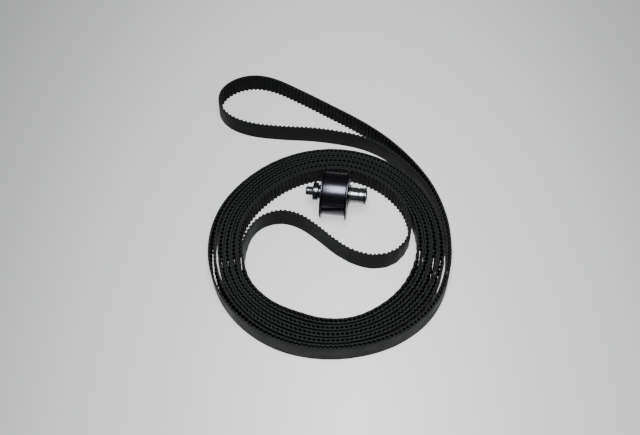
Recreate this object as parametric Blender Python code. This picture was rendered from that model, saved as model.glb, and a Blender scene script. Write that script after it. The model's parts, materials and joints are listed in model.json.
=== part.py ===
"""Endless toothed belt, folded double and coiled on its edge, with the idler pulley it runs over.

Run with:  blender --background --python part.py
Units are metres, +Z is up and the coil lies flat on the ground plane.
The belt is one closed ribbon.  Its two strands lie back to back with the teeth facing each other:
the pair winds anticlockwise from the inner bend to the outer one.
The idler is a flanged roller on two ball bearings and a plain shaft.  It lies on its flange rims
inside the coil, with its shaft level.
"""

import math

import bmesh
import bpy
import numpy as np
from mathutils import Matrix, Vector

MM = 0.001

# ---------------------------------------------------------------- belt sizes (millimetres)
BELT_WIDTH = 9.525
BELT_THICKNESS = 1.14
STRAND_GAP = 0.10                 # air between two strands that lie against each other
BELT_STEPS = 620                  # path points of the plain ribbon
HALF_PAIR = (BELT_THICKNESS + STRAND_GAP) / 2

COIL_CENTRE = (-0.25, -20.53)
MEAN_RADIUS = 38.5                # centre line of the pair, half a turn in
MEAN_TURN = 3.03                  # growth of that radius per turn

# Turn angles in degrees: 0 is +X, and 360 is added for each turn outwards.
INNER_STRAND_START = 188
INNER_STRAND_END = 1798
OUTER_STRAND_START = 34
OUTER_STRAND_END = 1795
ANGLE_STEP = 2
LEANING_END = 160                 # the outer strand is alone up to here

# Away from the far side the coil is slack: direction in degrees, radius of the coil's inner edge,
# then the air between its ten strands from the innermost out.
SLACK = (
    (160, 36.70, (1.80, 0.15, 0.12, 0.47, 0.12, 0.47, 0.12, 1.10, 0.45)),
    (188, 38.20, (0.55, 0.28, 0.28, 0.28, 0.28, 0.29, 0.28, 1.05, 0.85)),
    (205, 39.00, (0.35, 0.25, 0.15, 0.28, 0.15, 0.28, 0.20, 0.90, 0.85)),
    (225, 37.75, (0.20, 0.60, 0.12, 0.65, 0.12, 0.65, 0.12, 0.85, 0.60)),
    (245, 36.30, (0.12, 0.90, 0.12, 0.90, 0.12, 0.92, 0.12, 1.00, 0.35)),
    (265, 36.70, (0.12, 0.70, 0.12, 0.70, 0.12, 0.70, 0.12, 0.70, 0.15)),
    (285, 37.20, (0.12, 0.60, 0.12, 0.60, 0.12, 0.60, 0.12, 0.90, 0.12)),
    (305, 37.15, (0.15, 0.94, 0.15, 0.94, 0.15, 0.94, 0.15, 1.35, 0.12)),
    (325, 37.50, (0.35, 1.00, 0.35, 1.00, 0.35, 1.00, 0.35, 1.30, 0.12)),
    (350, 38.35, (0.60, 0.55, 0.36, 0.42, 0.55, 0.42, 0.38, 0.95, 0.12)),
)
SLACK_START = 130
SLACK_END = 395

# The free bend outside the coil, from the outer strand round to the inner one.
OUTER_BEND = (
    (52.75, -13.2), (51.4, -4.8), (48.8, 4.0), (44.8, 13.0), (38.8, 22.2), (31.8, 30.4),
    (23.0, 38.7), (13.5, 45.8), (0.5, 54.0), (-14.6, 63.2), (-26.6, 69.5), (-35.6, 71.3),
    (-44.6, 69.0), (-50.8, 63.1), (-51.7, 55.8), (-47.2, 49.1), (-37.6, 44.5), (-22.6, 42.3),
    (-8.6, 41.4), (4.4, 39.5), (14.4, 37.0), (23.4, 32.7), (31.6, 26.2), (38.4, 18.9),
    (43.6, 11.6), (47.5, 3.4), (50.1, -5.1), (51.5, -13.3),
)

# The free bend inside the coil, from the inner strand round to the outer one.
INNER_BEND = (
    (-37.2, -15.9), (-34.8, -10.0), (-29.8, -5.1), (-21.6, -3.0), (-13.6, -5.4), (-5.6, -11.4),
    (2.4, -18.7), (10.4, -23.9), (19.4, -26.2), (27.9, -24.2), (33.8, -18.0), (35.8, -10.4),
    (35.0, -4.6),
)

# ---------------------------------------------------------------- idler sizes (millimetres)
# Distances along the shaft are measured from the middle of the roller, + towards the bush.
FLANGE_RADIUS = 11.7
FLANGE_THICKNESS = 0.8
ROLLER_RADIUS = 10.0
ROLLER_HALF_LENGTH = 5.2
SPIGOT_RADIUS = 8.8
SHAFT_RADIUS = 2.5
STUB_RADIUS = 2.0
SHAFT_LEFT = -13.15
SHAFT_RIGHT = 14.55
FIT = 0.1                         # clearance between pieces of the idler

BEARING_RADIUS = 6.5
BEARING_WIDTH = 4.0
BEARING_OFFSET = 3.35             # middle of a bearing from the middle of the roller
PITCH_RADIUS = 4.5
BALL_RADIUS = 1.0
BALL_COUNT = 7
RACE_LIP = 0.7                    # half-gap between the lips of the two races

IDLER_PLACE = (2.15, 5.0, FLANGE_RADIUS)
IDLER_TURN = math.radians(-6.6)


# ---------------------------------------------------------------- helpers

def clear_scene():
    for obj in list(bpy.data.objects):
        bpy.data.objects.remove(obj, do_unlink=True)


def material(name, colour, roughness, metallic):
    mat = bpy.data.materials.new(name)
    mat.use_nodes = True
    shader = mat.node_tree.nodes["Principled BSDF"]
    shader.inputs["Base Color"].default_value = (*colour, 1.0)
    shader.inputs["Roughness"].default_value = roughness
    shader.inputs["Metallic"].default_value = metallic
    return mat


def add_object(name, bm, mat, parent=None):
    bmesh.ops.recalc_face_normals(bm, faces=bm.faces)
    mesh = bpy.data.meshes.new(name)
    bm.to_mesh(mesh)
    bm.free()
    mesh.materials.append(mat)
    obj = bpy.data.objects.new(name, mesh)
    bpy.context.scene.collection.objects.link(obj)
    obj.parent = parent
    return obj


def add_empty(name, location, parent=None):
    empty = bpy.data.objects.new(name, None)
    bpy.context.scene.collection.objects.link(empty)
    empty.parent = parent
    empty.location = location
    return empty


def revolved(name, outline, mat, parent, segments=32):
    """Turn an outline of (along the shaft, radius) points about the X axis into a closed solid."""
    bm = bmesh.new()
    verts = [bm.verts.new((along * MM, 0.0, radius * MM)) for along, radius in outline]
    edges = [bm.edges.new(pair) for pair in zip(verts, verts[1:])]
    if outline[0][1] > 0:
        edges.append(bm.edges.new((verts[-1], verts[0])))
    bmesh.ops.spin(bm, geom=verts + edges, cent=(0, 0, 0), axis=(1, 0, 0),
                   angle=math.tau, steps=segments, use_merge=True)
    bmesh.ops.remove_doubles(bm, verts=bm.verts, dist=0.001 * MM)
    obj = add_object(name, bm, mat, parent)
    obj.data.shade_smooth()
    obj.data.set_sharp_from_angle(angle=math.radians(35))
    return obj


def ring_outline(start, end, inner, outer):
    return [(start, inner), (start, outer), (end, outer), (end, inner)]


# ---------------------------------------------------------------- belt path

def even_spiral(angle, side):
    """Radius of one strand if the pair were wound tight; side is -1 inside and +1 outside."""
    a = np.radians(angle)
    turns = (angle - 180) / 360
    inner_turn = (MEAN_RADIUS + 0.1 * np.cos(a) + 1.4 * np.sin(a)
                  + 0.05 * np.cos(2 * a) + 0.7 * np.sin(2 * a)
                  - 0.3 * np.cos(3 * a) - 0.2 * np.sin(3 * a))
    growth = (MEAN_TURN - 0.05 * np.cos(a) - 0.33 * np.sin(a)
              + 0.15 * np.cos(2 * a) - 0.13 * np.sin(2 * a))
    return inner_turn + turns * growth + side * HALF_PAIR


def smooth_curve(where, knots, values):
    """Cubic through the knots, level at both ends."""
    slopes = np.gradient(values, knots)
    slopes[0] = slopes[-1] = 0
    i = np.clip(np.searchsorted(knots, where) - 1, 0, len(knots) - 2)
    width = knots[i + 1] - knots[i]
    t = np.clip((where - knots[i]) / width, 0, 1)
    u = 1 - t
    return (u * u * (1 + 2 * t) * values[i] + t * t * (1 + 2 * u) * values[i + 1]
            + t * u * width * (u * slopes[i] - t * slopes[i + 1]))


def slack_shift(turn, side, direction):
    """How far the slack moves a strand outwards from the even spiral."""
    strand = 2 * turn + (side + 1) // 2
    knots = [SLACK_START]
    shifts = [0.0]
    for knot, inner_edge, gaps in SLACK:
        radius = inner_edge + (strand + 0.5) * BELT_THICKNESS + sum(gaps[:strand])
        knots.append(knot)
        shifts.append(radius - even_spiral(knot + 360 * turn, side))
    knots.append(SLACK_END)
    shifts.append(0.0)
    return smooth_curve(direction, np.array(knots, float), np.array(shifts))


def strand_radius(angle, side):
    turn = np.floor((angle - SLACK_START) / 360).astype(int)
    radius = even_spiral(angle, side)
    for number in range(5):
        here = turn == number
        radius[here] += slack_shift(number, side, angle[here] - 360.0 * number)
        tail = (turn == number + 1) & (angle - 360 * number < SLACK_END)
        radius[tail] += slack_shift(number, side, angle[tail] - 360.0 * number)
    return radius


def on_coil(angle, radius):
    a = np.radians(angle)
    return np.stack([COIL_CENTRE[0] + radius * np.cos(a), COIL_CENTRE[1] + radius * np.sin(a)], 1)


def inner_strand():
    angle = np.arange(INNER_STRAND_START, INNER_STRAND_END + 1, ANGLE_STEP)
    return on_coil(angle, strand_radius(angle, -1))


def outer_strand():
    """Before the pair closes, this strand is alone and leans against the next turn out."""
    angle = np.arange(OUTER_STRAND_START, OUTER_STRAND_END + 1, ANGLE_STEP)
    leaning = strand_radius(angle + 360, -1) - 2 * HALF_PAIR
    share = np.clip((angle - LEANING_END) / (INNER_STRAND_START - LEANING_END), 0, 1)
    share = share * share * (3 - 2 * share)
    return on_coil(angle, leaning + share * (strand_radius(angle, 1) - leaning))


def rounded(points, steps=24):
    """Centripetal Catmull-Rom curve; the first and last points only steer it."""
    points = np.asarray(points, float)
    pieces = []
    for p0, p1, p2, p3 in zip(points, points[1:], points[2:], points[3:]):
        t1 = math.dist(p0, p1) ** 0.5
        t2 = t1 + math.dist(p1, p2) ** 0.5
        t3 = t2 + math.dist(p2, p3) ** 0.5
        t = np.linspace(t1, t2, steps, endpoint=False)[:, None]
        a1 = p0 + t / t1 * (p1 - p0)
        a2 = p1 + (t - t1) / (t2 - t1) * (p2 - p1)
        a3 = p2 + (t - t2) / (t3 - t2) * (p3 - p2)
        b1 = a1 + t / t2 * (a2 - a1)
        b2 = a2 + (t - t1) / (t3 - t1) * (a3 - a2)
        pieces.append(b1 + (t - t1) / (t2 - t1) * (b2 - b1))
    return np.concatenate(pieces)


def evenly_spaced(points, count):
    closed = np.vstack([points, points[:1]])
    lengths = np.linalg.norm(np.diff(closed, axis=0), axis=1)
    along = np.concatenate([[0.0], np.cumsum(lengths)])
    wanted = np.arange(count) * along[-1] / count
    return np.stack([np.interp(wanted, along, closed[:, axis]) for axis in (0, 1)], 1)


def eased(points, spread):
    """Gaussian smoothing round the closed path; spread is in points."""
    reach = 4 * spread
    weights = np.exp(-0.5 * (np.arange(-reach, reach + 1) / spread) ** 2)
    weights /= weights.sum()
    padded = np.vstack([points[-reach:], points, points[:reach]])
    return np.stack([np.convolve(padded[:, axis], weights, "valid") for axis in (0, 1)], 1)


def belt_path(count):
    """Evenly spaced points down the middle of the belt, in millimetres, anticlockwise outside."""
    outer = outer_strand()
    inner = inner_strand()
    steer = 4
    outside = rounded([outer[-1 - steer], outer[-1], *OUTER_BEND, inner[-1], inner[-1 - steer]])
    inside = rounded([inner[steer], inner[0], *INNER_BEND, outer[0], outer[steer]])
    path = np.concatenate([outer[:-1], outside, inner[::-1][:-1], inside])
    fine = eased(evenly_spaced(path, 6200), 4)
    return evenly_spaced(fine, count)


def make_belt(mat):
    path = belt_path(BELT_STEPS)
    heading = np.roll(path, -1, 0) - np.roll(path, 1, 0)
    heading /= np.linalg.norm(heading, axis=1)[:, None]
    outwards = np.stack([heading[:, 1], -heading[:, 0]], 1)
    back = path + outwards * BELT_THICKNESS / 2
    teeth_side = path - outwards * BELT_THICKNESS / 2
    bm = bmesh.new()
    sections = []
    for (bx, by), (tx, ty) in zip(back, teeth_side):
        corners = ((bx, by, 0), (bx, by, BELT_WIDTH), (tx, ty, BELT_WIDTH), (tx, ty, 0))
        sections.append([bm.verts.new(Vector(corner) * MM) for corner in corners])
    for here, there in zip(sections, sections[1:] + sections[:1]):
        for i in range(4):
            j = (i + 1) % 4
            bm.faces.new((here[i], here[j], there[j], there[i]))
    return add_object("belt", bm, mat)


# ---------------------------------------------------------------- idler

def make_shaft(mat, parent):
    chamfer = 0.4
    shoulder = -10.1
    outline = [
        (SHAFT_LEFT, 0), (SHAFT_LEFT, STUB_RADIUS - chamfer), (SHAFT_LEFT + chamfer, STUB_RADIUS),
        (shoulder, STUB_RADIUS), (shoulder, SHAFT_RADIUS),
        (SHAFT_RIGHT - chamfer, SHAFT_RADIUS), (SHAFT_RIGHT, SHAFT_RADIUS - chamfer),
        (SHAFT_RIGHT, 0),
    ]
    revolved("idler_shaft", outline, mat, parent)


def make_roller(mat, parent):
    """Smooth roller with a spigot at each end for the flange and a bore for each bearing."""
    end = ROLLER_HALF_LENGTH + FLANGE_THICKNESS + FIT
    seat = BEARING_OFFSET - BEARING_WIDTH / 2 - FIT
    bore = BEARING_RADIUS + FIT
    chamfer = 0.2
    half = [
        (seat, bore - 0.8), (seat, bore), (end, bore), (end, SPIGOT_RADIUS),
        (ROLLER_HALF_LENGTH, SPIGOT_RADIUS), (ROLLER_HALF_LENGTH, ROLLER_RADIUS - chamfer),
        (ROLLER_HALF_LENGTH - chamfer, ROLLER_RADIUS),
    ]
    outline = half + [(-along, radius) for along, radius in reversed(half)]
    revolved("roller_shell", outline, mat, parent, segments=48)


def make_flange(side, sign, mat, parent):
    inside = sign * (ROLLER_HALF_LENGTH + FIT)
    outside = sign * (ROLLER_HALF_LENGTH + FIT + FLANGE_THICKNESS)
    rim = 0.2 * sign
    outline = [
        (inside, SPIGOT_RADIUS + FIT), (inside, FLANGE_RADIUS - 0.2), (inside + rim, FLANGE_RADIUS),
        (outside - rim, FLANGE_RADIUS), (outside, FLANGE_RADIUS - 0.2),
        (outside, SPIGOT_RADIUS + FIT),
    ]
    revolved(f"flange_{side}", outline, mat, parent, segments=48)


def race_groove(middle, sign):
    """Half-round ball track; sign is +1 for the outer race and -1 for the inner one."""
    track = BALL_RADIUS + FIT
    reach = math.acos(RACE_LIP / track)
    angles = [reach * step / 2 for step in range(-2, 3)]
    return [(middle + track * math.sin(a), PITCH_RADIUS + sign * track * math.cos(a))
            for a in angles]


def make_race(name, middle, sign, far_radius, mat, parent):
    groove = race_groove(middle, sign)
    lip = PITCH_RADIUS + sign * RACE_LIP
    half = BEARING_WIDTH / 2
    outline = [(middle - half, far_radius), (middle - half, lip), *groove,
               (middle + half, lip), (middle + half, far_radius)]
    revolved(name, outline, mat, parent, segments=24)


def make_balls(side, middle, mat, parent):
    for number in range(BALL_COUNT):
        angle = math.tau * number / BALL_COUNT
        bm = bmesh.new()
        bmesh.ops.create_icosphere(bm, subdivisions=2, radius=BALL_RADIUS * MM)
        ball = add_object(f"ball_{side}_{number + 1}", bm, mat, parent)
        ball.location = Vector((middle, -PITCH_RADIUS * math.sin(angle),
                                PITCH_RADIUS * math.cos(angle))) * MM
        ball.data.shade_smooth()


def make_cage(side, sign, middle, mat, parent):
    """Snap-in cage: a ring with one open pocket for each ball."""
    back = middle - sign * 1.55
    front = middle + sign * 0.45
    cage = revolved(f"cage_{side}", ring_outline(back, front, 4.05, 4.95), mat, parent, 28)
    bm = bmesh.new()
    for number in range(BALL_COUNT):
        angle = math.tau * number / BALL_COUNT
        place = Vector((middle, -PITCH_RADIUS * math.sin(angle), PITCH_RADIUS * math.cos(angle)))
        bmesh.ops.create_icosphere(bm, subdivisions=2, radius=(BALL_RADIUS + 0.15) * MM,
                                   matrix=Matrix.Translation(place * MM))
    pockets = add_object(f"cage_pockets_{side}", bm, mat, parent)
    pockets.hide_render = True
    pockets.display_type = "WIRE"
    cut = cage.modifiers.new("pockets", "BOOLEAN")
    cut.operation = "DIFFERENCE"
    cut.object = pockets


def make_bearing(side, sign, roller, axle, mats):
    """Shielded deep-groove ball bearing; its balls and cage turn together on an empty."""
    middle = sign * BEARING_OFFSET
    make_race(f"bearing_{side}_outer_race", middle, 1, BEARING_RADIUS, mats["bearing"], roller)
    make_race(f"bearing_{side}_inner_race", middle, -1, SHAFT_RADIUS + FIT, mats["bearing"], axle)
    for face, direction in (("outer", sign), ("inner", -sign)):
        near = middle + direction * 1.7
        far = middle + direction * 1.9
        outline = ring_outline(near, far, PITCH_RADIUS - 0.55, PITCH_RADIUS + RACE_LIP - 0.05)
        revolved(f"bearing_{side}_{face}_shield", outline, mats["shield"], roller, 24)
    turning = add_empty(f"cage_axis_{side}", (0, 0, 0), axle)
    make_cage(side, sign, middle, mats["cage"], turning)
    make_balls(side, middle, mats["ball"], turning)


def make_shaft_fittings(axle, mats):
    """Spacers, collar, bush and end ring that are threaded on the shaft."""
    bore = SHAFT_RADIUS + FIT
    race_end = BEARING_OFFSET + BEARING_WIDTH / 2 + FIT
    inner_end = BEARING_OFFSET - BEARING_WIDTH / 2 - FIT
    steel = mats["fitting"]
    revolved("bearing_spacer", ring_outline(-inner_end, inner_end, bore, 3.5), steel, axle, 24)
    revolved("spacer_left", ring_outline(-7.4, -race_end, bore, 3.2), steel, axle, 24)
    revolved("spacer_right", ring_outline(race_end, 6.5, bore, 3.2), steel, axle, 24)
    revolved("lock_collar", ring_outline(-9.85, -7.5, bore, 4.05), steel, axle)

    bush = [
        (6.6, bore), (6.6, 4.5), (7.1, 4.5), (7.1, 3.5), (10.4, 3.5), (10.4, 3.2), (10.9, 3.2),
        (10.9, 3.5), (13.1, 3.5), (13.1, bore),
    ]
    revolved("grooved_bush", bush, mats["bush"], axle)
    revolved("end_ring", ring_outline(13.2, 14.2, bore, 3.8), steel, axle, 24)


def make_idler(mats):
    axle = add_empty("idler_axis", Vector(IDLER_PLACE) * MM)
    axle.rotation_euler.z = IDLER_TURN
    roller = add_empty("roller_axis", (0, 0, 0), axle)
    make_shaft(mats["shaft"], axle)
    make_roller(mats["roller"], roller)
    for side, sign in (("left", -1), ("right", 1)):
        make_flange(side, sign, mats["flange"], roller)
        make_bearing(side, sign, roller, axle, mats)
    make_shaft_fittings(axle, mats)


def main():
    clear_scene()
    mats = {
        "shaft": material("shaft_steel", (0.30, 0.31, 0.33), 0.25, 1.0),
        "roller": material("roller_steel", (0.16, 0.17, 0.20), 0.22, 1.0),
        "flange": material("flange_steel", (0.28, 0.29, 0.31), 0.30, 1.0),
        "bearing": material("bearing_steel", (0.55, 0.56, 0.58), 0.18, 1.0),
        "shield": material("shield_steel", (0.50, 0.51, 0.52), 0.35, 1.0),
        "cage": material("cage_nylon", (0.55, 0.50, 0.40), 0.55, 0.0),
        "ball": material("ball_steel", (0.70, 0.71, 0.73), 0.08, 1.0),
        "fitting": material("fitting_steel", (0.34, 0.35, 0.37), 0.28, 1.0),
        "bush": material("bush_steel", (0.38, 0.39, 0.40), 0.25, 1.0),
    }
    make_belt(material("belt_rubber", (0.018, 0.018, 0.019), 0.62, 0.0))
    make_idler(mats)


main()
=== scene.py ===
"""Looks of the coiled timing belt and the idler pulley that lies in it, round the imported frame."""

import json
import math

import bmesh
import bpy
import numpy as np
from mathutils import Matrix, Vector


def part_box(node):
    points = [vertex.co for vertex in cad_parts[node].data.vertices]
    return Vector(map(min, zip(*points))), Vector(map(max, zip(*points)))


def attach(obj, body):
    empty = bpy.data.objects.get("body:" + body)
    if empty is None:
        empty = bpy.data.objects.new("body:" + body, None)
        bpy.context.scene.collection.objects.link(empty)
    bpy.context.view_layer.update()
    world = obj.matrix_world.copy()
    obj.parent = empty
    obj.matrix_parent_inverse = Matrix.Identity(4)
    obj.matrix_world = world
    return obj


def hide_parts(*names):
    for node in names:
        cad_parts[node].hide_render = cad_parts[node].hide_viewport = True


MM = 0.001

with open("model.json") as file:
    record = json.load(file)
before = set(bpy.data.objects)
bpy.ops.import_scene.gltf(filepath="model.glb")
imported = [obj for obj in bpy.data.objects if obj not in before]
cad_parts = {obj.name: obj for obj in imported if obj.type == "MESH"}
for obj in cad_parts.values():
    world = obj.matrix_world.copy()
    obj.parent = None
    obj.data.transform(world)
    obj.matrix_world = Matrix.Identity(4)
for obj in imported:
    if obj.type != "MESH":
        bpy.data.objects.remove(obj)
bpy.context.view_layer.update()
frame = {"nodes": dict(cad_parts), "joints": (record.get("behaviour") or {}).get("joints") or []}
BELT_LOW, BELT_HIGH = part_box("belt")
JOINTS = {joint["name"]: joint for joint in frame["joints"]}

# ---------------------------------------------------------------- belt sizes (millimetres)
BELT_WIDTH = (BELT_HIGH[2] - BELT_LOW[2]) / MM
BELT_THICKNESS = 1.14
TOOTH_HEIGHT = 0.51
TOOTH_PITCH = 2.032
TOOTH_HALF_ROOT = 0.57
TOOTH_HALF_TIP = 0.385
TOOTH_FILLET = 0.12
LAND_THICKNESS = 0.03                         # tooth facing between two teeth
TEETH_BELOW_TOP = 0.02                        # from the belt's top edge down to the teeth's
CORNER_WEAR = 0.07
STRAND_GAP = 0.10                             # air between two strands that lie side by side
HALF_PAIR = (BELT_THICKNESS + STRAND_GAP) / 2
BACK = BELT_THICKNESS / 2                     # from the path to the smooth back
TOOTH_TIP = -BELT_THICKNESS / 2               # from the path to the tips of the teeth
TOOTH_ROOT = TOOTH_TIP + TOOTH_HEIGHT

# The path down the middle of the belt, as in the CAD model.
COIL_CENTRE = (-0.25, -20.53)
MEAN_RADIUS = 38.5                            # middle of the pair, half a turn in
MEAN_TURN = 3.03                              # growth of that radius per turn
# What is added to them: (cosine, sine) of once, twice and three times the angle.
RADIUS_WAVES = ((0.1, 1.4), (0.05, 0.7), (-0.3, -0.2))
TURN_WAVES = ((-0.05, -0.33), (0.15, -0.13))

# Turn angles in degrees: 0 is +X, and 360 is added for each turn outwards.
TURN_COUNT = 5
INNER_STRAND_START = 188
INNER_STRAND_END = 1798
OUTER_STRAND_START = 34
OUTER_STRAND_END = 1795
ANGLE_STEP = 2
LEANING_END = 160                             # the outer strand is alone up to here

# Away from the far side the coil is slack: direction in degrees, radius of the coil's inner edge,
# then the air between its ten strands from the innermost out.
SLACK = (
    (160, 36.70, (1.80, 0.15, 0.12, 0.47, 0.12, 0.47, 0.12, 1.10, 0.45)),
    (188, 38.20, (0.55, 0.28, 0.28, 0.28, 0.28, 0.29, 0.28, 1.05, 0.85)),
    (205, 39.00, (0.35, 0.25, 0.15, 0.28, 0.15, 0.28, 0.20, 0.90, 0.85)),
    (225, 37.75, (0.20, 0.60, 0.12, 0.65, 0.12, 0.65, 0.12, 0.85, 0.60)),
    (245, 36.30, (0.12, 0.90, 0.12, 0.90, 0.12, 0.92, 0.12, 1.00, 0.35)),
    (265, 36.70, (0.12, 0.70, 0.12, 0.70, 0.12, 0.70, 0.12, 0.70, 0.15)),
    (285, 37.20, (0.12, 0.60, 0.12, 0.60, 0.12, 0.60, 0.12, 0.90, 0.12)),
    (305, 37.15, (0.15, 0.94, 0.15, 0.94, 0.15, 0.94, 0.15, 1.35, 0.12)),
    (325, 37.50, (0.35, 1.00, 0.35, 1.00, 0.35, 1.00, 0.35, 1.30, 0.12)),
    (350, 38.35, (0.60, 0.55, 0.36, 0.42, 0.55, 0.42, 0.38, 0.95, 0.12)),
)
SLACK_START = 130
SLACK_END = 395

# The free bend outside the coil, from the outer strand round to the inner one.
OUTER_BEND = (
    (52.75, -13.2), (51.4, -4.8), (48.8, 4.0), (44.8, 13.0), (38.8, 22.2), (31.8, 30.4),
    (23.0, 38.7), (13.5, 45.8), (0.5, 54.0), (-14.6, 63.2), (-26.6, 69.5), (-35.6, 71.3),
    (-44.6, 69.0), (-50.8, 63.1), (-51.7, 55.8), (-47.2, 49.1), (-37.6, 44.5), (-22.6, 42.3),
    (-8.6, 41.4), (4.4, 39.5), (14.4, 37.0), (23.4, 32.7), (31.6, 26.2), (38.4, 18.9),
    (43.6, 11.6), (47.5, 3.4), (50.1, -5.1), (51.5, -13.3),
)

# The free bend inside the coil, from the inner strand round to the outer one.
INNER_BEND = (
    (-37.2, -15.9), (-34.8, -10.0), (-29.8, -5.1), (-21.6, -3.0), (-13.6, -5.4), (-5.6, -11.4),
    (2.4, -18.7), (10.4, -23.9), (19.4, -26.2), (27.9, -24.2), (33.8, -18.0), (35.8, -10.4),
    (35.0, -4.6),
)

PATH_POINTS = 12400
EASING_POINTS = 6200                          # points of the path while its corners are smoothed
EASING_SPREAD = 4                             # in those points

# ---------------------------------------------------------------- how the loose belt stands
# Only the visual belt has this: the CAD ribbon stands upright.  By direction from the coil's
# centre: how much further to its back side the belt's top edge stands than its foot, on the coil's
# inner strands and on its outermost one, and how far the strands ripple in and out.
DIRECTION = (0, 25, 140, 165, 188, 205, 235, 320, 340, 350)
INNER_LEAN = (0.24, 0.05, 0.04, 0.07, 0.26, 0.12, 0.07, 0.10, 0.30, 0.33)
OUTER_LEAN = (0.08, 0.04, 0.04, 0.20, 0.60, 0.60, 0.10, 0.05, 0.06, 0.08)
RIPPLE = (0.14, 0.03, 0.03, 0.04, 0.10, 0.06, 0.03, 0.06, 0.17, 0.19)
RIPPLES_ROUND = 57
OUTERMOST_RADIUS = 51.8                       # outside it the strands don't ripple

# Where the free inner strand meets the coil, their top edges lean together.
MEETING_DIRECTION = 179
MEETING_SPREAD = 9.5
MEETING_RADIUS = 40.1
MEETING_LEAN = 1.05

# The free strands lean to the far side: by place across, how far the foot of the inner one comes
# nearer and its top edge goes farther; the outer one's top edge goes OUTSIDE_TOP_FAR farther.
INSIDE_PLACE = (-36, -28, -12, 10, 28, 34, 37)
INSIDE_FOOT_NEAR = (0.0, 0.45, 0.80, 0.85, 0.85, 0.40, 0.0)
INSIDE_TOP_FAR = (0.0, 0.0, 0.45, 0.50, 0.45, 0.20, 0.0)
INSIDE_RADIUS = 38.3
INSIDE_FADE = 1.5                             # over which the lean is lost towards the coil
OUTSIDE_RADIUS = 57
OUTSIDE_FADE = 4
OUTSIDE_TOP_FAR = 0.40

# The top edge doesn't stand quite evenly: mean lift, and (size, waves round the belt, phase).
MEAN_LIFT = 0.36
LIFT_WAVES = ((0.075, 7, 0.6), (0.05, 19, 2.1), (0.035, 53, 4.0))

# ---------------------------------------------------------------- idler sizes (millimetres)
# Distances along the shaft are measured from the middle of the roller, + towards the bush.
FIT = 0.1                                     # clearance between pieces of the idler
FLANGE_RADIUS = 11.7
FLANGE_THICKNESS = 0.8
ROLLER_RADIUS = 10.0
ROLLER_HALF_LENGTH = 5.2
SPIGOT_RADIUS = 8.8
SEAT_HEIGHT = 0.8                             # of the shoulder that a bearing is pushed against
SHAFT_RADIUS = 2.5
SHAFT_LEFT = -13.15
SHAFT_RIGHT = 14.55
SHAFT_CHAMFER = 0.4
STUB_RADIUS = 2.0
STUB_END = -10.1

BEARING_RADIUS = 6.5
BEARING_HALF = 2.0
BEARING_OFFSET = 3.35                         # middle of a bearing from the middle of the roller
PITCH_RADIUS = 4.5
BALL_RADIUS = 1.0
BALL_COUNT = 7
RACE_LIP = 0.7                                # half-gap between the lips of the two races
SHIELD_NEAR = 1.7                             # faces of a shield, from the middle of its bearing
SHIELD_FAR = 1.9
SHIELD_INNER = PITCH_RADIUS - 0.55
SHIELD_OUTER = PITCH_RADIUS + RACE_LIP - 0.05

BEARING_SPACER_RADIUS = 3.5
SPACER_RADIUS = 3.2
SPACER_LEFT_START = -7.4
SPACER_RIGHT_END = 6.5
COLLAR_START = -9.85
COLLAR_END = -7.5
COLLAR_RADIUS = 4.05
END_RING_START = 13.2
END_RING_END = 14.2
END_RING_RADIUS = 3.8
BUSH_START = 6.6
BUSH_END = 13.1
BUSH_RADIUS = 3.5
BUSH_SHOULDER_END = 7.1
BUSH_SHOULDER_RADIUS = 4.5
GROOVE_START = 10.4
GROOVE_END = 10.9
GROOVE_RADIUS = 3.2

# ---------------------------------------------------------------- camera, floor and light
CAMERA_ELEVATION = math.radians(59.0)
CAMERA_DISTANCE = 659 * MM
CAMERA_AIM = Vector((-4.55, -0.73, 0.0)) * MM
CAMERA_LENS = 81.56
CAMERA_SENSOR = 36.0

# The table gives off most of its light itself, as a light table does, so the belt hardly shades
# it.  It is brightest here (metres) and darker away from there, sooner to the sides.
FLOOR_BRIGHTEST = (0.01, -0.10, 0.0)
FLOOR_REACH = 0.40
FLOOR_SIDEWAYS = 2.0
FLOOR_POWER = 0.9
FLOOR_LIGHT_TONE = 0.85
FLOOR_DARK_TONE = 0.21
FLOOR_GLOW = 1.27
FLOOR_DIFFUSE_SHARE = 0.36
FLOOR_HALF_SIDE = 3.0
FLOOR_DROP = 0.02 * MM                        # keeps the floor clear of the belt's foot

SOFTBOX_ELEVATION = math.radians(78)
SOFTBOX_DISTANCE = 0.95
SOFTBOX_SIZE = (0.36, 0.50)
SOFTBOX_POWER = 22.0
SOFTBOX_COLOUR = (0.93, 0.97, 1.0)
ROOM_COLOUR = (0.93, 0.96, 1.0)
ROOM_STRENGTH = 0.16


# ---------------------------------------------------------------- belt path

def wave_sum(angle, waves):
    """Sum at an angle in degrees of (cosine, sine) waves, the first of them once round."""
    a = np.radians(angle)
    return sum(cosine * np.cos(times * a) + sine * np.sin(times * a)
               for times, (cosine, sine) in enumerate(waves, start=1))


def even_spiral(angle, side):
    """Radius of one strand if the pair were wound tight; side is -1 inside and +1 outside."""
    turns = (angle - 180) / 360
    inner_turn = MEAN_RADIUS + wave_sum(angle, RADIUS_WAVES)
    growth = MEAN_TURN + wave_sum(angle, TURN_WAVES)
    return inner_turn + turns * growth + side * HALF_PAIR


def smooth_curve(where, knots, values):
    """Cubic through the knots, level at both ends."""
    slopes = np.gradient(values, knots)
    slopes[0] = slopes[-1] = 0
    i = np.clip(np.searchsorted(knots, where) - 1, 0, len(knots) - 2)
    width = knots[i + 1] - knots[i]
    t = np.clip((where - knots[i]) / width, 0, 1)
    u = 1 - t
    return (u * u * (1 + 2 * t) * values[i] + t * t * (1 + 2 * u) * values[i + 1]
            + t * u * width * (u * slopes[i] - t * slopes[i + 1]))


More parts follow.
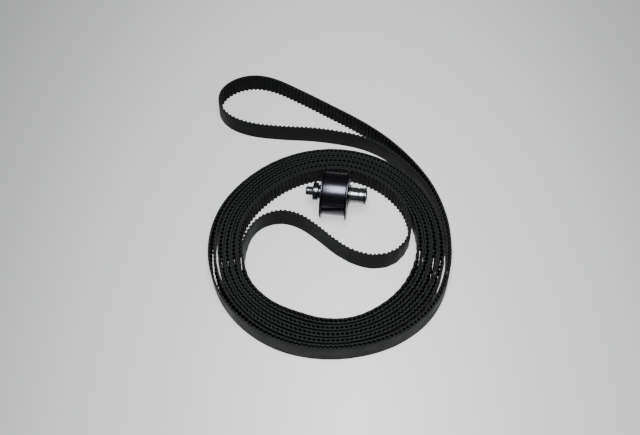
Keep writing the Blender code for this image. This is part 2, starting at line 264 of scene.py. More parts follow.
def slack_shift(turn, side, direction):
    """How far the slack moves a strand outwards from the even spiral."""
    strand = 2 * turn + (side + 1) // 2
    knots = [SLACK_START]
    shifts = [0.0]
    for knot, inner_edge, gaps in SLACK:
        radius = inner_edge + (strand + 0.5) * BELT_THICKNESS + sum(gaps[:strand])
        knots.append(knot)
        shifts.append(radius - even_spiral(knot + 360 * turn, side))
    knots.append(SLACK_END)
    shifts.append(0.0)
    return smooth_curve(direction, np.array(knots, float), np.array(shifts))


def strand_radius(angle, side):
    """Radius with the slack; a turn's slack runs on a little way past where the next one starts."""
    turn = np.floor((angle - SLACK_START) / 360).astype(int)
    radius = even_spiral(angle, side)
    for number in range(TURN_COUNT):
        here = turn == number
        radius[here] += slack_shift(number, side, angle[here] - 360.0 * number)
        tail = (turn == number + 1) & (angle - 360 * number < SLACK_END)
        radius[tail] += slack_shift(number, side, angle[tail] - 360.0 * number)
    return radius


def on_coil(angle, radius):
    a = np.radians(angle)
    return np.stack([COIL_CENTRE[0] + radius * np.cos(a), COIL_CENTRE[1] + radius * np.sin(a)], 1)


def inner_strand():
    angle = np.arange(INNER_STRAND_START, INNER_STRAND_END + 1, ANGLE_STEP)
    return on_coil(angle, strand_radius(angle, -1))


def outer_strand():
    """Before the pair closes, this strand is alone and leans against the next turn out."""
    angle = np.arange(OUTER_STRAND_START, OUTER_STRAND_END + 1, ANGLE_STEP)
    leaning = strand_radius(angle + 360, -1) - 2 * HALF_PAIR
    share = np.clip((angle - LEANING_END) / (INNER_STRAND_START - LEANING_END), 0, 1)
    share = share * share * (3 - 2 * share)
    return on_coil(angle, leaning + share * (strand_radius(angle, 1) - leaning))


def rounded(points, steps=24):
    """Centripetal Catmull-Rom curve; the first and last points only steer it."""
    points = np.asarray(points, float)
    pieces = []
    for p0, p1, p2, p3 in zip(points, points[1:], points[2:], points[3:]):
        t1 = math.dist(p0, p1) ** 0.5
        t2 = t1 + math.dist(p1, p2) ** 0.5
        t3 = t2 + math.dist(p2, p3) ** 0.5
        t = np.linspace(t1, t2, steps, endpoint=False)[:, None]
        a1 = p0 + t / t1 * (p1 - p0)
        a2 = p1 + (t - t1) / (t2 - t1) * (p2 - p1)
        a3 = p2 + (t - t2) / (t3 - t2) * (p3 - p2)
        b1 = a1 + t / t2 * (a2 - a1)
        b2 = a2 + (t - t1) / (t3 - t1) * (a3 - a2)
        pieces.append(b1 + (t - t1) / (t2 - t1) * (b2 - b1))
    return np.concatenate(pieces)


def evenly_spaced(points, count):
    closed = np.vstack([points, points[:1]])
    lengths = np.linalg.norm(np.diff(closed, axis=0), axis=1)
    along = np.concatenate([[0.0], np.cumsum(lengths)])
    wanted = np.arange(count) * along[-1] / count
    return np.stack([np.interp(wanted, along, closed[:, axis]) for axis in (0, 1)], 1)


def eased(points, spread):
    """Gaussian smoothing round the closed path; spread is in points."""
    reach = 4 * spread
    weights = np.exp(-0.5 * (np.arange(-reach, reach + 1) / spread) ** 2)
    weights /= weights.sum()
    padded = np.vstack([points[-reach:], points, points[:reach]])
    return np.stack([np.convolve(padded[:, axis], weights, "valid") for axis in (0, 1)], 1)


def coil_path():
    """Evenly spaced points down the middle of the belt; the outer strand runs anticlockwise."""
    outer = outer_strand()
    inner = inner_strand()
    steer = 4                                 # points along a strand to the one that steers a bend
    outside = rounded([outer[-1 - steer], outer[-1], *OUTER_BEND, inner[-1], inner[-1 - steer]])
    inside = rounded([inner[steer], inner[0], *INNER_BEND, outer[0], outer[steer]])
    path = np.concatenate([outer[:-1], outside, inner[::-1][:-1], inside])
    smooth = eased(evenly_spaced(path, EASING_POINTS), EASING_SPREAD)
    return evenly_spaced(smooth, PATH_POINTS)


class BeltLine:
    """The belt's middle line: where it runs and how the loose belt stands on it."""

    def __init__(self):
        self.points = coil_path()
        closed = np.vstack([self.points, self.points[:1]])
        self.along = np.concatenate(
            [[0.0], np.cumsum(np.linalg.norm(np.diff(closed, axis=0), axis=1))])
        self.length = self.along[-1]
        heading = np.roll(self.points, -2, 0) - np.roll(self.points, 2, 0)
        heading /= np.linalg.norm(heading, axis=1)[:, None]
        self.outwards = np.stack([heading[:, 1], -heading[:, 0]], 1)

    def _at(self, values, where):
        closed = np.vstack([values, values[:1]])
        where = np.mod(where, self.length)
        return np.stack([np.interp(where, self.along, closed[:, axis]) for axis in (0, 1)], 1)

    def sections(self, where):
        """Points at the lengths in where, and the directions to the belt's back side there."""
        return self._at(self.points, where), self._at(self.outwards, where)

    def lean(self, points):
        """How much further to the back side the top edge stands than the foot."""
        direction, radius = self._polar(points)
        inner = np.interp(direction, DIRECTION, INNER_LEAN, period=360)
        outer = np.interp(direction, DIRECTION, OUTER_LEAN, period=360)
        return outer + (inner - outer) * np.clip(OUTERMOST_RADIUS - radius, 0, 1)

    def meeting_lean(self, points):
        """How far the top edge leans to the toothed side where the free inner strand ends."""
        direction, radius = self._polar(points)
        bump = np.exp(-((direction % 360 - MEETING_DIRECTION) / MEETING_SPREAD) ** 2)
        return MEETING_LEAN * bump * np.clip((MEETING_RADIUS - radius) / INSIDE_FADE, 0, 1)

    def free_shifts(self, points):
        """Shifts of the foot and of the top edge to the far side."""
        radius = self._polar(points)[1]
        inside = np.clip((INSIDE_RADIUS - radius) / INSIDE_FADE, 0, 1)
        outside = np.clip((radius - OUTSIDE_RADIUS) / OUTSIDE_FADE, 0, 1)
        foot = -inside * np.interp(points[:, 0], INSIDE_PLACE, INSIDE_FOOT_NEAR)
        top = inside * np.interp(points[:, 0], INSIDE_PLACE, INSIDE_TOP_FAR)
        return foot, top + outside * OUTSIDE_TOP_FAR

    def rippled(self, points):
        """The points moved in and out along ripples that are in step from strand to strand."""
        direction, radius = self._polar(points)
        size = np.interp(direction, DIRECTION, RIPPLE, period=360)
        size *= np.clip(OUTERMOST_RADIUS - radius, 0, 1)
        size *= np.sin(RIPPLES_ROUND * np.radians(direction))
        return points + (points - COIL_CENTRE) * (size / radius)[:, None]

    def _polar(self, points):
        """Direction in degrees and distance from the coil's centre."""
        from_centre = points - COIL_CENTRE
        direction = np.degrees(np.arctan2(from_centre[:, 1], from_centre[:, 0]))
        return direction, np.linalg.norm(from_centre, axis=1)

    def lift(self, where):
        """How much higher than in the CAD model the top edge stands."""
        turn = math.tau * where / self.length
        return MEAN_LIFT + sum(size * np.sin(count * turn + phase)
                               for size, count, phase in LIFT_WAVES)


# ---------------------------------------------------------------- node helpers

BELT_MAP = "along_belt"
# Numbers of a colour Mix node's sockets, whose names are shared with its other data types.
FIRST_COLOUR = 6
SECOND_COLOUR = 7
MIXED_COLOUR = 2


class Shader:
    """Short spellings for building one material's nodes."""

    def __init__(self, name, colour, roughness, metallic=0.0):
        self.material = bpy.data.materials.new(name)
        self.material.use_nodes = True
        self.tree = self.material.node_tree
        self.surface = self.tree.nodes["Principled BSDF"]
        self.surface.inputs["Base Color"].default_value = (*colour, 1.0)
        self.surface.inputs["Roughness"].default_value = roughness
        self.surface.inputs["Metallic"].default_value = metallic

    def node(self, kind, **settings):
        made = self.tree.nodes.new(kind)
        for key, value in settings.items():
            setattr(made, key, value)
        return made

    def link(self, source, target):
        self.tree.links.new(source, target)

    def set(self, socket, value):
        self.surface.inputs[socket].default_value = value

    def uv(self, scale):
        """The belt's own map: U runs along the belt and V round its section, in metres."""
        source = self.node("ShaderNodeUVMap", uv_map=BELT_MAP)
        return self._mapped(source.outputs["UV"], scale)

    def place(self, scale):
        source = self.node("ShaderNodeTexCoord")
        return self._mapped(source.outputs["Object"], scale)

    def _mapped(self, vector, scale):
        mapping = self.node("ShaderNodeMapping")
        mapping.inputs["Scale"].default_value = scale
        self.link(vector, mapping.inputs["Vector"])
        return mapping.outputs["Vector"]

    def noise(self, vector, detail=3.0, roughness=0.5):
        made = self.node("ShaderNodeTexNoise")
        made.inputs["Scale"].default_value = 1.0
        made.inputs["Detail"].default_value = detail
        made.inputs["Roughness"].default_value = roughness
        self.link(vector, made.inputs["Vector"])
        return made.outputs["Fac"]

    def ramp(self, value, low, high, dark, light):
        """Maps value from low..high to a colour between dark and light."""
        made = self.node("ShaderNodeValToRGB")
        first, last = made.color_ramp.elements
        first.position, first.color = low, (*dark, 1.0)
        last.position, last.color = high, (*light, 1.0)
        self.link(value, made.inputs["Fac"])
        return made.outputs["Color"]

    def span(self, value, low, high, to_low, to_high):
        """Maps value from low..high to to_low..to_high."""
        made = self.node("ShaderNodeMapRange")
        for socket, number in (("From Min", low), ("From Max", high),
                               ("To Min", to_low), ("To Max", to_high)):
            made.inputs[socket].default_value = number
        self.link(value, made.inputs["Value"])
        return made.outputs["Result"]

    def maths(self, operation, *values):
        """One Math node; each value is a number or a socket."""
        made = self.node("ShaderNodeMath", operation=operation)
        for socket, value in zip(made.inputs, values):
            if isinstance(value, (int, float)):
                socket.default_value = value
            else:
                self.link(value, socket)
        return made.outputs["Value"]

    def mix(self, share, first, second, blend="MIX"):
        """Share of second in first; each is a colour or a socket."""
        made = self.node("ShaderNodeMix", data_type="RGBA", blend_type=blend)
        for key, value in (("Factor", share), (FIRST_COLOUR, first), (SECOND_COLOUR, second)):
            socket = made.inputs[key]
            if isinstance(value, tuple):
                socket.default_value = (*value, 1.0)
            elif isinstance(value, (int, float)):
                socket.default_value = value
            else:
                self.link(value, socket)
        return made.outputs[MIXED_COLOUR]

    def colour(self, output):
        self.link(output, self.surface.inputs["Base Color"])

    def roughness(self, output):
        self.link(output, self.surface.inputs["Roughness"])

    def bump(self, height, depth, strength):
        """Bump of the given depth in metres; a second call adds to the first."""
        made = self.node("ShaderNodeBump")
        made.inputs["Strength"].default_value = strength
        made.inputs["Distance"].default_value = depth
        self.link(height, made.inputs["Height"])
        previous = self.surface.inputs["Normal"]
        if previous.is_linked:
            self.link(previous.links[0].from_socket, made.inputs["Normal"])
        self.link(made.outputs["Normal"], previous)


# ---------------------------------------------------------------- materials of the belt

def belt_back_rubber():
    """Ground neoprene back: lengthwise grinding lines, soft cloudy sheen."""
    rubber = Shader("belt_back_rubber", (0.01, 0.01, 0.01), 0.5)
    dark = (0.0010, 0.0010, 0.0010)
    light = (0.0024, 0.0026, 0.0026)
    grinding_line = (0.0034, 0.0036, 0.0037)
    lines = rubber.noise(rubber.uv((60, 9000, 1)), detail=4.0, roughness=0.6)
    clouds = rubber.noise(rubber.uv((90, 140, 1)))
    grain = rubber.noise(rubber.uv((9000, 9000, 1)), detail=2.0)
    cloudy = rubber.ramp(clouds, 0.3, 0.7, dark, light)
    rubber.colour(rubber.mix(rubber.span(lines, 0.3, 0.7, 0.0, 0.5), cloudy, grinding_line))
    rubber.roughness(rubber.span(clouds, 0.3, 0.7, 0.42, 0.58))
    rubber.bump(lines, 0.03 * MM, 0.5)
    rubber.bump(grain, 0.015 * MM, 0.6)
    rubber.set("Specular IOR Level", 0.055)
    return rubber.material


def belt_edge_rubber():
    """Edge where the belt was slit from its sleeve: dull, with knife marks; its darker stretches are
    painted shade, as if some strands caught less light.
    """
    edge = Shader("belt_edge_rubber", (0.01, 0.01, 0.01), 0.7)
    dark = (0.0016, 0.0016, 0.0016)
    light = (0.0032, 0.0034, 0.0034)
    knife_mark = (0.0060, 0.0062, 0.0062)
    # darker tone of the painted shade on some stretches of the edge
    painted_shade = (0.0010, 0.0010, 0.0011)
    marks = edge.noise(edge.uv((5200, 700, 1)))
    clouds = edge.noise(edge.uv((260, 260, 1)))
    shaded_stretches = edge.noise(edge.uv((17, 17, 1)), detail=2.0)
    cloudy = edge.ramp(clouds, 0.3, 0.7, dark, light)
    cut = edge.mix(edge.span(marks, 0.35, 0.7, 0.0, 0.7), cloudy, knife_mark)
    # painted shade: long stretches of the edge darkened, as if those strands stood less in the light
    edge.colour(edge.mix(edge.span(shaded_stretches, 0.36, 0.64, 0.0, 0.75), cut, painted_shade))
    edge.roughness(edge.span(clouds, 0.3, 0.7, 0.62, 0.8))
    edge.bump(marks, 0.03 * MM, 0.6)
    edge.set("Specular IOR Level", 0.2)
    return edge.material


def belt_tooth_facing():
    """Nylon cloth moulded over the teeth: a fine black weave with faint clouds."""
    cloth = Shader("belt_tooth_facing", (0.022, 0.022, 0.023), 0.68)
    dark = (0.0012, 0.0012, 0.0013)
    light = (0.0024, 0.0026, 0.0027)
    thread_crown = (0.0040, 0.0042, 0.0044)
    threads = []
    for bands_direction, scale in (("X", (620, 0, 1)), ("Y", (0, 620, 1))):
        bands = cloth.node("ShaderNodeTexWave", wave_type="BANDS", bands_direction=bands_direction)
        bands.inputs["Scale"].default_value = 1.0
        bands.inputs["Distortion"].default_value = 0.6
        cloth.link(cloth.uv(scale), bands.inputs["Vector"])
        threads.append(bands.outputs["Fac"])
    weave = cloth.maths("MULTIPLY", *threads)
    clouds = cloth.noise(cloth.uv((200, 200, 1)), detail=4.0)
    cloth.colour(cloth.mix(weave, cloth.ramp(clouds, 0.3, 0.7, dark, light), thread_crown))
    cloth.roughness(cloth.span(clouds, 0.3, 0.7, 0.55, 0.78))
    cloth.bump(weave, 0.03 * MM, 0.5)
    cloth.set("Specular IOR Level", 0.07)
    return cloth.material


# ---------------------------------------------------------------- materials of the idler

def turned_metal(name, dark, light, roughness, ring_depth=0.004):
    """Metal turned about the piece's own X axis: fine rings on its ends and round its sides."""
    metal = Shader(name, light, roughness, metallic=1.0)
    rings_per_metre = 9000.0
    coords = metal.node("ShaderNodeTexCoord")
    split = metal.node("ShaderNodeSeparateXYZ")
    metal.link(coords.outputs["Object"], split.inputs["Vector"])
    y_squared = metal.maths("MULTIPLY", split.outputs["Y"], split.outputs["Y"])
    z_squared = metal.maths("MULTIPLY", split.outputs["Z"], split.outputs["Z"])
    radius = metal.maths("SQRT", metal.maths("ADD", y_squared, z_squared))
    rings_at = metal.node("ShaderNodeCombineXYZ")
    for socket, distance in (("X", split.outputs["X"]), ("Y", radius)):
        metal.link(metal.maths("MULTIPLY", distance, rings_per_metre), rings_at.inputs[socket])
    rings = metal.noise(rings_at.outputs["Vector"], detail=3.0, roughness=0.6)
    smears = metal.noise(metal.place((420, 420, 420)), detail=4.0, roughness=0.6)
    tone = metal.mix(metal.span(smears, 0.25, 0.75, 0.0, 1.0), dark, light)
    metal.colour(metal.mix(metal.span(rings, 0.4, 0.65, 0.0, 0.25), tone, light))
    patchy = metal.span(smears, 0.3, 0.7, roughness * 0.93, roughness * 1.07)
    metal.roughness(metal.maths("ADD", patchy, metal.span(rings, 0.35, 0.65, -0.02, 0.04)))
    metal.bump(rings, ring_depth * MM, 0.5)
    return metal.material


def moulded_nylon():
    """Cream nylon of the ball cages."""
    nylon = Shader("cage_nylon", (0.55, 0.50, 0.40), 0.5)
    clouds = nylon.noise(nylon.place((700, 700, 700)), detail=4.0)
    nylon.colour(nylon.ramp(clouds, 0.3, 0.7, (0.48, 0.43, 0.33), (0.60, 0.55, 0.45)))
    nylon.roughness(nylon.span(clouds, 0.3, 0.7, 0.42, 0.6))
    nylon.set("Subsurface Weight", 0.1)
    return nylon.material


# ---------------------------------------------------------------- belt meshes

# A swept belt has a ring of corners at each station along it.  The arrays where (stations) and
# across and up (stations x corners) say how far along the belt, to its back side and above the
# table each corner is, in millimetres.

def belt_corners(line, where, across, up):
    """Every corner's place, with the loose belt's lean and ripple."""
    points, outwards = line.sections(where)
    points = line.rippled(points)
    share_up = up / BELT_WIDTH
    leaning = across + line.lean(points)[:, None] * (share_up - 0.5)
    leaning -= line.meeting_lean(points)[:, None] * share_up
    ground = points[:, None, :] + outwards[:, None, :] * leaning[:, :, None]
    foot_shift, top_shift = line.free_shifts(points)
    ground[:, :, 1] += foot_shift[:, None] + (top_shift - foot_shift)[:, None] * share_up
    return np.concatenate([ground, up[:, :, None]], 2)


def belt_faces(stations, corners):
    """Four corner numbers for every face, from each ring to the next and round to the first."""
    here = np.arange(stations)[:, None] * corners
    there = np.roll(here, -1, 0)
    ring = np.arange(corners)[None, :]
    next_ring = (ring + 1) % corners
    return np.stack([here + ring, there + ring, there + next_ring, here + next_ring], 2)


def belt_map(line, where, across, up):
    """U along the belt and V round the ring, for the four corners of every face."""
    stations, corners = across.shape
    steps = np.hypot(np.diff(across, axis=1, append=across[:, :1]),
                     np.diff(up, axis=1, append=up[:, :1]))
    round_ring = np.concatenate([np.zeros((stations, 1)), np.cumsum(steps, 1)], 1)
    next_round = np.roll(round_ring, -1, 0)
    next_where = np.append(where[1:], where[0] + line.length)
    u_here = np.broadcast_to(where[:, None], (stations, corners))
    u_there = np.broadcast_to(next_where[:, None], (stations, corners))
    corners_u = np.stack([u_here, u_there, u_there, u_here], 2)
    corners_v = np.stack([round_ring[:, :-1], next_round[:, :-1],
                          next_round[:, 1:], round_ring[:, 1:]], 2)
    return np.stack([corners_u, corners_v], 3)


def swept_belt(name, line, where, across, up, edge_rings, materials):
    """Closed ribbon; the faces that follow the corners in edge_rings get the second material."""
    stations, corners = across.shape
    verts = belt_corners(line, where, across, up).reshape(-1, 3) * MM
    mesh = bpy.data.meshes.new(name)
    mesh.from_pydata(verts.tolist(), [], belt_faces(stations, corners).reshape(-1, 4).tolist())
    uv = belt_map(line, where, across, up).reshape(-1) * MM
    mesh.uv_layers.new(name=BELT_MAP).data.foreach_set("uv", uv.astype(np.float32))
    slots = np.zeros((stations, corners), np.int32)
    slots[:, edge_rings] = 1
    mesh.polygons.foreach_set("material_index", slots.reshape(-1))
    for material in materials:
        mesh.materials.append(material)
    obj = bpy.data.objects.new(name, mesh)
    bpy.context.scene.collection.objects.link(obj)
    mesh.shade_smooth()
    mesh.set_sharp_from_angle(angle=math.radians(35))
    return obj


def make_backing(line, back, edge):
    """The smooth band that carries the teeth, with slightly worn corners."""
    stations = 3100
    where = np.arange(stations) * line.length / stations
    worn = BACK - CORNER_WEAR
    across = np.array([BACK, BACK, worn, TOOTH_ROOT, TOOTH_ROOT, worn])
    up = np.array([CORNER_WEAR, BELT_WIDTH - CORNER_WEAR, BELT_WIDTH, BELT_WIDTH, 0.0, 0.0])
    # the lift fades to nothing at the foot, which stands on the table
    height = up[None, :] + line.lift(where)[:, None] * (up[None, :] / BELT_WIDTH)
    across = np.broadcast_to(across, height.shape)
    return swept_belt("belt_backing", line, where, across, height, [2, 4], [back, edge])


def tooth_profile():
    """(along, height) of one tooth about its middle, with rounded root and tip corners."""
    side = [
        (TOOTH_HALF_ROOT + TOOTH_FILLET, 0.0),
        (TOOTH_HALF_ROOT + 0.25 * TOOTH_FILLET, 0.06 * TOOTH_HEIGHT),
        (TOOTH_HALF_ROOT - 0.25 * TOOTH_FILLET, 0.20 * TOOTH_HEIGHT),
        (TOOTH_HALF_TIP + 0.05, 0.72 * TOOTH_HEIGHT),
        (TOOTH_HALF_TIP, 0.90 * TOOTH_HEIGHT),
        (TOOTH_HALF_TIP - TOOTH_FILLET, TOOTH_HEIGHT),
    ]
    return np.array([(-along, height) for along, height in side] + side[::-1])


def make_teeth(line, facing, edge):
    """Every tooth of the belt, on a thin land that joins them, a little short of the top edge."""
    count = round(line.length / TOOTH_PITCH)
    pitch = line.length / count
    profile = tooth_profile()
    where = (np.arange(count)[:, None] * pitch + pitch / 2 + profile[None, :, 0]).reshape(-1)
    above_land = np.tile(profile[:, 1], count) * (TOOTH_HEIGHT - LAND_THICKNESS) / TOOTH_HEIGHT
    root = np.full_like(above_land, TOOTH_ROOT)
    face = root - LAND_THICKNESS - above_land
    across = np.stack([root, root, face, face], 1)
    foot = np.zeros_like(where)
    top = BELT_WIDTH - TEETH_BELOW_TOP + line.lift(where)
    up = np.stack([foot, top, top, foot], 1)
    return swept_belt("belt_teeth", line, where, across, up, [1, 3], [facing, edge])


# ---------------------------------------------------------------- idler meshes

def softened(outline, radius, steps=3):
    """Rounds the corners of an outline of (along, radius) points, where there is room."""
    most = 0.45                               # share of a side that one corner may take
    points = [Vector(point) for point in outline]
    on_axis = points[0].y == 0
    result = []
    for i, here in enumerate(points):
        if on_axis and i in (0, len(points) - 1):
            result.append(here)
            continue
        before = points[i - 1] - here
        after = points[(i + 1) % len(points)] - here
        cut = min(radius, before.length * most, after.length * most)
        start = here + before.normalized() * cut
        end = here + after.normalized() * cut
        for step in range(steps + 1):
            t = step / steps
            result.append(start.lerp(here, t).lerp(here.lerp(end, t), t))
    return [(point.x, point.y) for point in result]


def idler_matrix():
    """Idler frame: origin in the middle of the roller, X along the shaft, Z up."""
    spin = JOINTS["roller_spin"]
    along = Vector(spin["axis"]).normalized()
    side = Vector((0, 0, 1)).cross(along)
    turn = Matrix((along, side, Vector((0, 0, 1)))).transposed().to_4x4()
    return Matrix.Translation(Vector(spin["pos_m"])) @ turn


IDLER = idler_matrix()


def turned(name, node, body, outline, material, corner=0.12, segments=96):
    """Lathe piece about the idler's shaft, in place of the CAD node."""
    outline = softened(outline, corner)
    bm = bmesh.new()
    verts = [bm.verts.new((along * MM, 0.0, radius * MM)) for along, radius in outline]
    edges = [bm.edges.new(pair) for pair in zip(verts, verts[1:])]
    if outline[0][1] > 0:
        edges.append(bm.edges.new((verts[-1], verts[0])))
    bmesh.ops.spin(bm, geom=verts + edges, cent=(0, 0, 0), axis=(1, 0, 0),
                   angle=math.tau, steps=segments, use_merge=True)
    bmesh.ops.remove_doubles(bm, verts=bm.verts, dist=0.0005 * MM)
    bmesh.ops.recalc_face_normals(bm, faces=bm.faces)
    mesh = bpy.data.meshes.new(name)
    bm.to_mesh(mesh)
    bm.free()
    mesh.shade_smooth()
    mesh.set_sharp_from_angle(angle=math.radians(40))
    mesh.materials.append(material)
    obj = bpy.data.objects.new(name, mesh)
    bpy.context.scene.collection.objects.link(obj)
    obj.matrix_world = IDLER
    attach(obj, body)
    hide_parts(node)


def make_roller(metal):
    """Smooth roller with a spigot at each end for the flange and a bore for each bearing."""
    end = ROLLER_HALF_LENGTH + FLANGE_THICKNESS + FIT
    seat = BEARING_OFFSET - BEARING_HALF - FIT
    bore = BEARING_RADIUS + FIT
    half = [
        (seat, bore - SEAT_HEIGHT), (seat, bore), (end, bore), (end, SPIGOT_RADIUS),
        (ROLLER_HALF_LENGTH, SPIGOT_RADIUS), (ROLLER_HALF_LENGTH, ROLLER_RADIUS),
    ]
    outline = half + [(-along, radius) for along, radius in reversed(half)]
    turned("idler_roller_shell", "roller_shell", "idler_roller", outline, metal,
           corner=0.25, segments=144)


def make_flange(side, sign, metal):
    """Side plate on the roller's spigot."""
    inside = sign * (ROLLER_HALF_LENGTH + FIT)
    outside = sign * (ROLLER_HALF_LENGTH + FIT + FLANGE_THICKNESS)
    outline = [(inside, SPIGOT_RADIUS + FIT), (inside, FLANGE_RADIUS),
               (outside, FLANGE_RADIUS), (outside, SPIGOT_RADIUS + FIT)]
    turned(f"idler_flange_{side}", f"flange_{side}", "idler_roller", outline,
           metal, corner=0.22, segments=144)


def track(middle, sign):
    """Half-round ball track; sign is +1 for the outer race and -1 for the inner one."""
    radius = BALL_RADIUS + FIT
    reach = math.acos(RACE_LIP / radius)
    angles = [reach * step / 5 for step in range(-5, 6)]
    return [(middle + radius * math.sin(a), PITCH_RADIUS + sign * radius * math.cos(a))
            for a in angles]


def make_race(side, kind, sign, middle, far_radius, body, metal):
    """Bearing race; far_radius is its smooth side, away from the balls."""
    lip = PITCH_RADIUS + sign * RACE_LIP
    outline = [(middle - BEARING_HALF, far_radius), (middle - BEARING_HALF, lip),
               *track(middle, sign),
               (middle + BEARING_HALF, lip), (middle + BEARING_HALF, far_radius)]
    node = f"bearing_{side}_{kind}_race"
    turned(f"idler_{node}", node, body, outline, metal, corner=0.08, segments=72)


def make_shields(side, sign, middle, metal):
    for face, direction in (("outer", sign), ("inner", -sign)):
        near = middle + direction * SHIELD_NEAR
        far = middle + direction * SHIELD_FAR
        outline = [(near, SHIELD_INNER), (near, SHIELD_OUTER),
                   (far, SHIELD_OUTER), (far, SHIELD_INNER)]
        node = f"bearing_{side}_{face}_shield"
        turned(f"idler_{node}", node, "idler_roller", outline, metal,
               corner=0.06, segments=72)


def make_balls(side, middle, metal):
    for number in range(BALL_COUNT):
        angle = math.tau * number / BALL_COUNT
        bm = bmesh.new()
        bmesh.ops.create_icosphere(bm, subdivisions=4, radius=BALL_RADIUS * MM)
        node = f"ball_{side}_{number + 1}"
        mesh = bpy.data.meshes.new(f"idler_{node}")
        bm.to_mesh(mesh)
        bm.free()
        mesh.shade_smooth()
        mesh.materials.append(metal)
        obj = bpy.data.objects.new(f"idler_{node}", mesh)
        bpy.context.scene.collection.objects.link(obj)
        offset = Vector((middle, -PITCH_RADIUS * math.sin(angle), PITCH_RADIUS * math.cos(angle)))
        obj.matrix_world = IDLER @ Matrix.Translation(offset * MM)
        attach(obj, f"cage_set_{side}")
        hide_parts(node)


def make_shaft(metal):
    """Solid shaft with a thinner stub at its left end."""
    outline = [
        (SHAFT_LEFT, 0), (SHAFT_LEFT, STUB_RADIUS - SHAFT_CHAMFER),
        (SHAFT_LEFT + SHAFT_CHAMFER, STUB_RADIUS), (STUB_END, STUB_RADIUS),
        (STUB_END, SHAFT_RADIUS), (SHAFT_RIGHT - SHAFT_CHAMFER, SHAFT_RADIUS),
        (SHAFT_RIGHT, SHAFT_RADIUS - SHAFT_CHAMFER), (SHAFT_RIGHT, 0),
    ]
    turned("idler_shaft_turned", "idler_shaft", "idler_axle", outline, metal)


def make_shaft_fittings(steel, bush_metal):
    """Spacers, collar, end ring and bush that are threaded on the shaft."""
    bore = SHAFT_RADIUS + FIT
    race_end = BEARING_OFFSET + BEARING_HALF + FIT
    inner_end = BEARING_OFFSET - BEARING_HALF - FIT
    rings = (
        ("bearing_spacer", -inner_end, inner_end, BEARING_SPACER_RADIUS),
        ("spacer_left", SPACER_LEFT_START, -race_end, SPACER_RADIUS),
        ("spacer_right", race_end, SPACER_RIGHT_END, SPACER_RADIUS),
        ("lock_collar", COLLAR_START, COLLAR_END, COLLAR_RADIUS),
        ("end_ring", END_RING_START, END_RING_END, END_RING_RADIUS),
    )
    for node, start, end, outer in rings:
        outline = [(start, bore), (start, outer), (end, outer), (end, bore)]
        turned(f"idler_{node}", node, "idler_axle", outline, steel, corner=0.2)
    bush = [
        (BUSH_START, bore), (BUSH_START, BUSH_SHOULDER_RADIUS),
        (BUSH_SHOULDER_END, BUSH_SHOULDER_RADIUS), (BUSH_SHOULDER_END, BUSH_RADIUS),
        (GROOVE_START, BUSH_RADIUS), (GROOVE_START, GROOVE_RADIUS),
        (GROOVE_END, GROOVE_RADIUS), (GROOVE_END, BUSH_RADIUS),
        (BUSH_END, BUSH_RADIUS), (BUSH_END, bore),
    ]
    turned("idler_grooved_bush", "grooved_bush", "idler_axle", bush, bush_metal,
           corner=0.18)


def make_idler():
    """Detailed pieces in place of the CAD nodes; the cages keep their CAD shape."""
    roller = turned_metal("roller_steel", (0.032, 0.031, 0.039), (0.041, 0.039, 0.049), 0.22)
    flange = turned_metal("flange_steel", (0.016, 0.017, 0.019), (0.032, 0.033, 0.037), 0.30)
    bearing = turned_metal("bearing_steel", (0.45, 0.46, 0.48), (0.60, 0.61, 0.63), 0.20)
    shield = turned_metal("shield_steel", (0.38, 0.39, 0.40), (0.52, 0.53, 0.54), 0.32)
    ball = turned_metal("ball_steel", (0.62, 0.63, 0.65), (0.74, 0.75, 0.77), 0.08, ring_depth=0.001)
    nylon = moulded_nylon()
    shaft = turned_metal("shaft_steel", (0.07, 0.072, 0.078), (0.14, 0.145, 0.15), 0.22)
    fitting = turned_metal("fitting_steel", (0.04, 0.042, 0.045), (0.08, 0.083, 0.088), 0.24)
    bush = turned_metal("bush_steel", (0.10, 0.105, 0.105), (0.20, 0.205, 0.205), 0.20)
    make_roller(roller)
    for side, sign in (("left", -1), ("right", 1)):
        middle = sign * BEARING_OFFSET
        make_flange(side, sign, flange)
        make_race(side, "outer", 1, middle, BEARING_RADIUS, "idler_roller", bearing)
        make_race(side, "inner", -1, middle, SHAFT_RADIUS + FIT, "idler_axle", bearing)
        make_shields(side, sign, middle, shield)
        make_balls(side, middle, ball)
        cage = frame["nodes"][f"cage_{side}"]
        cage.material_slots[0].material = nylon
    make_shaft(shaft)
    make_shaft_fittings(fitting, bush)


# ---------------------------------------------------------------- stage, light and camera

def table_material():
    """Smooth pale table that darkens away from its brightest place."""
    table = Shader("table", (0.74, 0.74, 0.74), 0.6)
    coords = table.node("ShaderNodeTexCoord")
    offset = table.node("ShaderNodeVectorMath", operation="SUBTRACT")
    table.link(coords.outputs["Object"], offset.inputs[0])
    offset.inputs[1].default_value = FLOOR_BRIGHTEST
    stretched = table.node("ShaderNodeVectorMath", operation="MULTIPLY")
    stretched.inputs[1].default_value = (FLOOR_SIDEWAYS, 1.0, 1.0)
    table.link(offset.outputs["Vector"], stretched.inputs[0])
    away = table.node("ShaderNodeVectorMath", operation="LENGTH")
    table.link(stretched.outputs["Vector"], away.inputs[0])
    falloff = table.maths("DIVIDE", away.outputs["Value"], FLOOR_REACH)
    shade = table.maths("SMOOTH_MIN", table.maths("POWER", falloff, FLOOR_POWER), 1.0, 0.25)
    tone = table.mix(shade, (FLOOR_LIGHT_TONE,) * 3, (FLOOR_DARK_TONE,) * 3)
    table.colour(table.mix(1.0, tone, (FLOOR_DIFFUSE_SHARE,) * 3, "MULTIPLY"))
    table.link(tone, table.surface.inputs["Emission Color"])
    table.set("Emission Strength", FLOOR_GLOW)
    table.set("Specular IOR Level", 0.2)
    return table.material


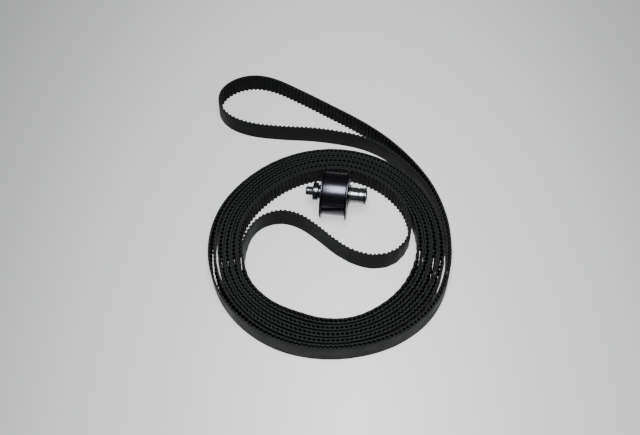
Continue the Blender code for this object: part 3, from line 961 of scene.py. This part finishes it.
def make_floor():
    bm = bmesh.new()
    bmesh.ops.create_grid(bm, x_segments=1, y_segments=1, size=FLOOR_HALF_SIDE)
    mesh = bpy.data.meshes.new("table_top")
    bm.to_mesh(mesh)
    bm.free()
    mesh.materials.append(table_material())
    floor = bpy.data.objects.new("table_top", mesh)
    bpy.context.scene.collection.objects.link(floor)
    floor.location.z = -FLOOR_DROP


def make_softbox():
    """Lamp high up on the camera's side, aimed at the middle of the object."""
    data = bpy.data.lights.new("key", "AREA")
    data.shape = "RECTANGLE"
    data.size, data.size_y = SOFTBOX_SIZE
    data.energy = SOFTBOX_POWER
    data.color = SOFTBOX_COLOUR
    lamp = bpy.data.objects.new("key", data)
    bpy.context.scene.collection.objects.link(lamp)
    towards = Vector((0.0, -math.cos(SOFTBOX_ELEVATION), math.sin(SOFTBOX_ELEVATION)))
    lamp.location = towards * SOFTBOX_DISTANCE
    lamp.rotation_euler = towards.to_track_quat("Z", "Y").to_euler()


def make_room_light():
    world = bpy.data.worlds.new("room")
    world.use_nodes = True
    background = world.node_tree.nodes["Background"]
    background.inputs["Color"].default_value = (*ROOM_COLOUR, 1.0)
    background.inputs["Strength"].default_value = ROOM_STRENGTH
    bpy.context.scene.world = world


def make_camera():
    """Camera that looks down at the object from the near side."""
    data = bpy.data.cameras.new("camera")
    data.lens = CAMERA_LENS
    data.sensor_width = CAMERA_SENSOR
    data.clip_start = 0.01
    camera = bpy.data.objects.new("camera", data)
    bpy.context.scene.collection.objects.link(camera)
    back = Vector((0.0, -math.cos(CAMERA_ELEVATION), math.sin(CAMERA_ELEVATION)))
    camera.location = CAMERA_AIM + back * CAMERA_DISTANCE
    camera.rotation_euler = back.to_track_quat("Z", "Y").to_euler()
    bpy.context.scene.camera = camera


def make_belt():
    """Backing and teeth, which together replace the plain CAD ribbon."""
    line = BeltLine()
    edge = belt_edge_rubber()
    backing = make_backing(line, belt_back_rubber(), edge)
    teeth = make_teeth(line, belt_tooth_facing(), edge)
    for piece in (backing, teeth):
        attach(piece, "belt")
        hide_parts("belt")


make_camera()
make_room_light()
make_softbox()
make_floor()
make_belt()
make_idler()
